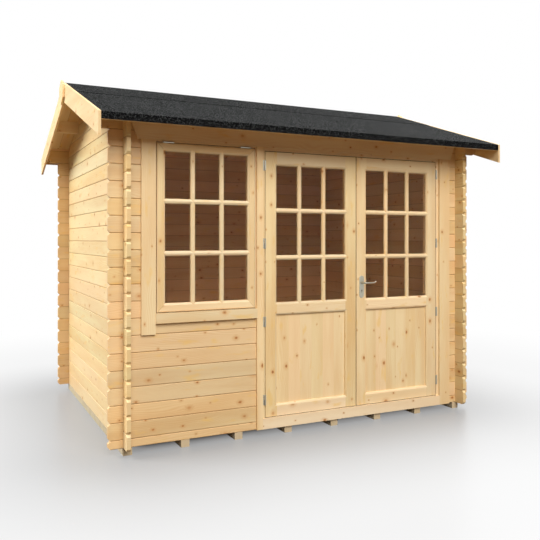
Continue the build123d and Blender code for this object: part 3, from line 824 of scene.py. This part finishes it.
def lever():
    """Smooth levers on both faces of the leaf, with a collar on each backplate."""
    low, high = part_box("lever_handle")
    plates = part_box("handle_backplates")
    x = (plates[0][0] + plates[1][0]) / 2
    z = lever_height()
    mesh = bmesh.new()
    for reach_y, plate_y in ((low[1], plates[0][1]), (high[1], plates[1][1])):
        outward = math.copysign(1.0, reach_y - plate_y)
        grip_y = reach_y - outward * LEVER_ROOT_RADIUS
        tip_x = high[0] - LEVER_ROOT_RADIUS - LEVER_SHORTER
        collar_y = plate_y + outward * LEVER_COLLAR_LENGTH
        grip = eased([
            (x, collar_y, z), (x, grip_y, z), (tip_x - 3 * LEVER_TIP_RISE, grip_y, z),
            (tip_x - LEVER_TIP_RISE, grip_y, z), (tip_x, grip_y, z + LEVER_TIP_RISE),
        ], LEVER_BEND)
        path = [Vector((x, plate_y, z)), Vector((x, collar_y - outward * LEVER_COLLAR_EDGE, z))] + grip
        sizes = [LEVER_COLLAR_RADIUS, LEVER_COLLAR_RADIUS]
        for spot in grip:
            thinned = min(LEVER_TAPER * (spot.x - x) / (tip_x - x), 1.0)
            sizes.append(LEVER_ROOT_RADIUS + (LEVER_GRIP_RADIUS - LEVER_ROOT_RADIUS) * thinned)
        path.append(path[-1] + (path[-1] - path[-2]).normalized() * LEVER_TIP_ROUND)
        sizes.append(LEVER_GRIP_RADIUS * LEVER_TIP_SHARE)
        tube(mesh, path, sizes)
    bmesh.ops.recalc_face_normals(mesh, faces=mesh.faces)
    piece = add_piece("lever_bars", mesh, ("steel",), "door_lever")
    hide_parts("lever_handle")


def lever_height():
    """Height of the smooth levers' necks, from the lowest point of the CAD lever.

    The joint's axis is 1 mm higher, since the CAD lever's neck has a radius of 8 mm.
    """
    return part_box("lever_handle")[0][2] + LEVER_ABOVE_CAD_FOOT


def stadium(x, z, half_width, half_height, steps=12):
    """Outline of an upright plate with round ends, from its right side round."""
    straight = half_height - half_width
    points = []
    for end in (1, -1):
        for step in range(steps + 1):
            turn = math.pi * step / steps
            side = half_width * math.cos(turn)
            rise = straight + half_width * math.sin(turn)
            points.append((x + end * side, z + end * rise))
    return points


def rolled_plate(mesh, low, high, base, top):
    """Plate with round ends whose edge rolls over from y at base to y at top; its back is open."""
    x = (low[0] + high[0]) / 2
    z = (low[2] + high[2]) / 2
    half_width = (high[0] - low[0]) / 2
    half_height = (high[2] - low[2]) / 2
    loops = []
    for step in range(ARC_STEPS + 1):
        turn = math.pi / 2 * step / ARC_STEPS
        inset = PLATE_EDGE * (1 - math.cos(turn))
        y = base + (top - base) * math.sin(turn)
        outline = stadium(x, z, half_width - inset, half_height - inset)
        loops.append([mesh.verts.new((px, y, pz)) for px, pz in outline])
    skin(mesh, loops, True)
    mesh.faces.new(loops[-1])


def backplates():
    """Plates with rolled edges, and before each a dark face in the outline of a keyhole, painted shade of
    a hole the plate does not have.
    """
    mesh = bmesh.new()
    shaded_keyholes = bmesh.new()
    for low, high in islands("handle_backplates"):
        outside = low[1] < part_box("right_door_stiles")[0][1]
        base, top = (high[1], low[1]) if outside else (low[1], high[1])
        rolled_plate(mesh, low, high, base, top)
        proud = top + math.copysign(KEYHOLE_PROUD, top - base)
        keyhole(shaded_keyholes, (low[0] + high[0]) / 2, proud, lever_height() - KEYHOLE_BELOW_LEVER)
    bmesh.ops.recalc_face_normals(mesh, faces=mesh.faces)
    piece = add_piece("backplate_shells", mesh, ("steel",), "right_door")
    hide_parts("handle_backplates")
    add_piece("keyholes", shaded_keyholes, ("hollow_shade",), "right_door")


def keyhole(mesh, x, y, z, steps=14):
    """Face in the outline of a keyhole: a round with a slot below, dark as painted shade of the hole."""
    half_slot = KEYHOLE_SLOT / 2
    start = math.asin(half_slot / KEYHOLE_RADIUS)
    points = [(x - half_slot, z - KEYHOLE_FOOT), (x + half_slot, z - KEYHOLE_FOOT)]
    for step in range(steps + 1):
        turn = start + (2 * math.pi - 2 * start) * step / steps
        points.append((x + KEYHOLE_RADIUS * math.sin(turn), z - KEYHOLE_RADIUS * math.cos(turn)))
    mesh.faces.new([mesh.verts.new((px, y, pz)) for px, pz in points])


def studio_floor():
    """Pale floor; as the camera, mirrors and glass see it, it fades to white further out, so it is
    painted darker near the cabin, painted shade over its real shadow.
    """
    half_x, half_y = (side - SHADE_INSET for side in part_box("floor_bearers")[1][:2])
    bpy.ops.mesh.primitive_plane_add(size=FLOOR_SIZE)
    ground = bpy.context.object
    ground.name = "studio_floor"
    material, n, shader = new_material("studio_floor")
    place = n.split(n.add("ShaderNodeTexCoord").outputs["Object"])
    beside = n.math("MAXIMUM", n.scaled(n.math("ABSOLUTE", place[0]), 1.0, -half_x), 0.0)
    before = n.math("MAXIMUM", n.scaled(n.math("ABSOLUTE", place[1]), 1.0, -half_y), 0.0)
    reach = n.length(beside, before)
    seen = seen_directly(n)
    n.put(shader.inputs["Base Color"], n.mix(seen, FLOOR_BOUNCE, FLOOR_SEEN))
    shader.inputs["Roughness"].default_value = FLOOR_ROUGHNESS
    shader.inputs["Specular IOR Level"].default_value = FLOOR_SPECULAR
    white = n.add("ShaderNodeEmission")
    white.inputs["Strength"].default_value = BACKDROP
    # painted shade: the share of white grows with the distance from the bearers, so the floor is darker
    # near the cabin
    fade = 0.0
    for starts, ends, share in FADE_STEPS:
        fade = n.math("ADD", fade, n.step(reach, starts, ends, 0.0, share))
    blend = n.add("ShaderNodeMixShader")
    n.put(blend.inputs[0], n.product(seen, fade))
    n.put(blend.inputs[1], shader.outputs[0])
    n.put(blend.inputs[2], white.outputs[0])
    n.put(n.tree.nodes["Material Output"].inputs["Surface"], blend.outputs[0])
    ground.data.materials.append(material)


def studio_light():
    """Soft dome that looks white to the camera, and three square lamps."""
    world = bpy.data.worlds.new("studio")
    bpy.context.scene.world = world
    world.use_nodes = True
    w = Nodes(world.node_tree)
    height = w.split(w.add("ShaderNodeTexCoord").outputs["Generated"])[2]
    dome = w.mix(w.step(height, *DOME_RAMP), DOME_LOW, DOME_HIGH)
    background = world.node_tree.nodes["Background"]
    w.put(background.inputs["Color"], w.mix(seen_directly(w), dome, (BACKDROP, BACKDROP, BACKDROP)))

    for name, place, aim, size, watts in LAMPS:
        lamp = bpy.data.lights.new(name, "AREA")
        lamp.shape = "SQUARE"
        lamp.size = size
        lamp.energy = watts
        holder = bpy.data.objects.new(name, lamp)
        bpy.context.scene.collection.objects.link(holder)
        holder.location = place
        holder.rotation_euler = (Vector(aim) - Vector(place)).to_track_quat("-Z", "Y").to_euler()


def seen_directly(n):
    """1 for rays from the camera, mirrored or through glass, 0 for light that falls on things."""
    path = n.add("ShaderNodeLightPath")
    through = n.math("MAXIMUM", path.outputs["Is Glossy Ray"], path.outputs["Is Transmission Ray"])
    return n.math("MAXIMUM", path.outputs["Is Camera Ray"], through)


def photograph_camera():
    """Level camera at the photograph's place."""
    data = bpy.data.cameras.new("photograph")
    data.sensor_width = SENSOR_WIDTH
    data.lens = LENS
    data.shift_x = SHIFT_X
    data.shift_y = SHIFT_Y
    data.clip_end = CAMERA_REACH
    camera = bpy.data.objects.new("photograph", data)
    bpy.context.scene.collection.objects.link(camera)
    camera.location = CAMERA_PLACE
    camera.rotation_euler = (math.pi / 2, 0.0, -CAMERA_YAW)
    bpy.context.scene.camera = camera


dress_cad_nodes()
mouldings()
door_stops()
shade_the_gaps()
screws()
backplates()
lever()
studio_floor()
studio_light()
photograph_camera()
bpy.context.scene.view_settings.view_transform = "Standard"
